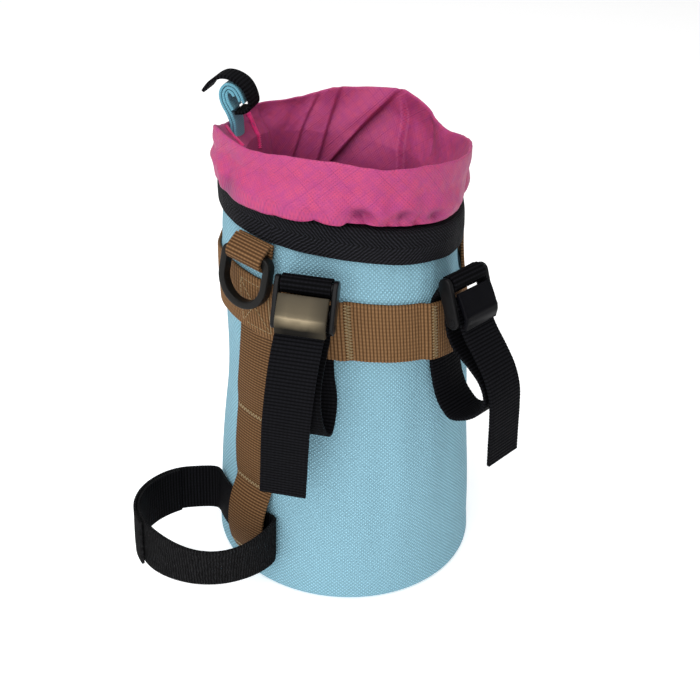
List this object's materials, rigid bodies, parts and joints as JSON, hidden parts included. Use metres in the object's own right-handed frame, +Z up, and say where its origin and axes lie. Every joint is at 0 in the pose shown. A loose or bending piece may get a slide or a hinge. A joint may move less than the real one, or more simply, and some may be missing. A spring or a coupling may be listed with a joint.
{
  "type": "bicycle stem bag",
  "caption": "Padded bottle-shaped stem bag with a soft drawstring collar, webbing band, cam-buckle bar straps, a D-ring and a hook-and-loop wrap strap.",
  "frame": {"origin": "middle of the flat base, on the surface that the bag stands on", "axes": "+Z up along the bag; the D-ring side faces -Y, and the two bar straps lie between -Y and +X"},
  "size_m": [0.1463, 0.1502, 0.2063],
  "materials": {
    "shell_cloth": "padded woven oxford cloth, matte",
    "binding_tape": "ribbed grosgrain tape, matte",
    "collar_cloth": "thin ripstop cloth, slight sheen",
    "brown_webbing": "ribbed webbing, matte",
    "black_webbing": "ribbed webbing, slight sheen",
    "hook_loop_tape": "hook-and-loop tape, fuzzy outside",
    "draw_tape": "flat woven tape",
    "ring_plastic": "moulded, matte",
    "buckle_plastic": "moulded, satin",
    "cam_plastic": "moulded, semi-gloss"
  },
  "bodies": {
    "bag": {"shell": "shell_cloth", "rim_binding": "binding_tape", "collar": "collar_cloth", "band": "brown_webbing", "ring_tab": "brown_webbing", "down_strap": "brown_webbing", "side_tab": "brown_webbing", "bar_strap_left": "black_webbing", "buckle_left": "buckle_plastic", "cam_left": "cam_plastic", "bar_strap_right": "black_webbing", "buckle_right": "buckle_plastic", "cam_right": "cam_plastic", "wrap_strap": "hook_loop_tape", "draw_tape": "draw_tape", "pull_tab": "black_webbing"},
    "ring": {"d_ring": "ring_plastic"}
  },
  "joints": [
    {"name": "d_ring_swing", "type": "hinge", "parent": "bag", "child": "ring", "pos_m": [-0.01409, -0.06075, 0.1562], "axis": [-0.9813, 0.1554, 0.1132], "range_deg": [0, 140]}
  ]
}
